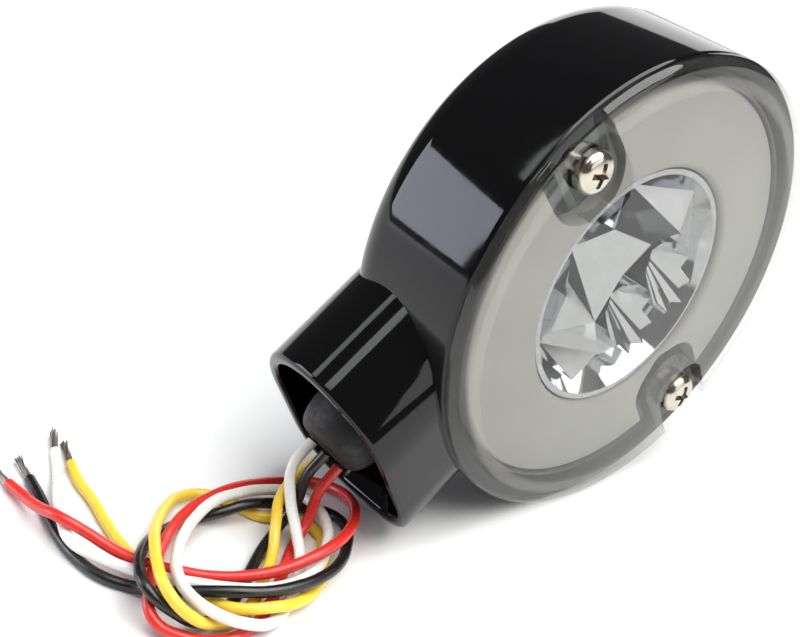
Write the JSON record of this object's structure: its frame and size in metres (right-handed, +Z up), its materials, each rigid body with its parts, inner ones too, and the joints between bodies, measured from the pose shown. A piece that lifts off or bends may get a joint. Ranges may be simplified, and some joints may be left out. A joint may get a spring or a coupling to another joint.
{
  "type": "motorcycle turn signal light",
  "caption": "Round gloss-black turn signal with a domed lens, a faceted reflector, a short hollow stem and a loose knot of lead wires.",
  "frame": {"origin": "centre of the box round the light (without its leads) where it rests on a flat surface, on the drum's wall and the stem's lower corner", "axes": "+Z up from the surface; the lens faces -Y along the drum's axis; the stem points towards -X and down"},
  "size_m": [0.1065, 0.0493, 0.068],
  "materials": {
    "gloss_black_enamel": "deep gloss black stoved enamel on a zinc casting",
    "smoked_clear_plastic": "clear smoke-tinted polycarbonate, polished mould",
    "black_rubber": "moulded EPDM rubber, matt",
    "frosted_plastic": "frosted warm grey light guide",
    "vacuum_chrome": "vacuum metallised mirror coat on plastic",
    "circuit_board": "green solder mask",
    "white_diode": "white diode package with phosphor",
    "amber_diode": "clear amber diode lens",
    "black_epoxy": "moulded black epoxy",
    "nickel_steel": "nickel plated steel",
    "brass": "turned brass",
    "tinned_copper": "tinned copper strands",
    "white_vinyl": "white PVC insulation",
    "yellow_vinyl": "yellow PVC insulation",
    "black_vinyl": "black PVC insulation",
    "red_vinyl": "red PVC insulation"
  },
  "bodies": {
    "root": {"board_screw_1": "nickel_steel", "board_screw_2": "nickel_steel", "capacitor": "nickel_steel", "cup_led_1": "amber_diode", "cup_led_2": "amber_diode", "diode": "black_epoxy", "driver_chip": "black_epoxy", "housing": "gloss_black_enamel", "inner_lead_black": "black_vinyl", "inner_lead_red": "red_vinyl", "inner_lead_white": "white_vinyl", "inner_lead_yellow": "yellow_vinyl", "lead_black": "black_vinyl", "lead_red": "red_vinyl", "lead_white": "white_vinyl", "lead_yellow": "yellow_vinyl", "led_board": "circuit_board", "lens": "smoked_clear_plastic", "lens_gasket": "black_rubber", "lens_screw_1": "nickel_steel", "lens_screw_2": "nickel_steel", "light_guide_ring": "frosted_plastic", "reflector": "vacuum_chrome", "resistor_1": "black_epoxy", "resistor_2": "black_epoxy", "resistor_3": "black_epoxy", "ring_led_1": "white_diode", "ring_led_2": "white_diode", "ring_led_3": "white_diode", "ring_led_4": "white_diode", "ring_led_5": "white_diode", "ring_led_6": "white_diode", "ring_led_7": "white_diode", "ring_led_8": "white_diode", "strands_black": "tinned_copper", "strands_red": "tinned_copper", "strands_white": "tinned_copper", "strands_yellow": "tinned_copper", "threaded_insert_1": "brass", "threaded_insert_2": "brass", "wire_grommet": "black_rubber"}
  },
  "joints": []
}
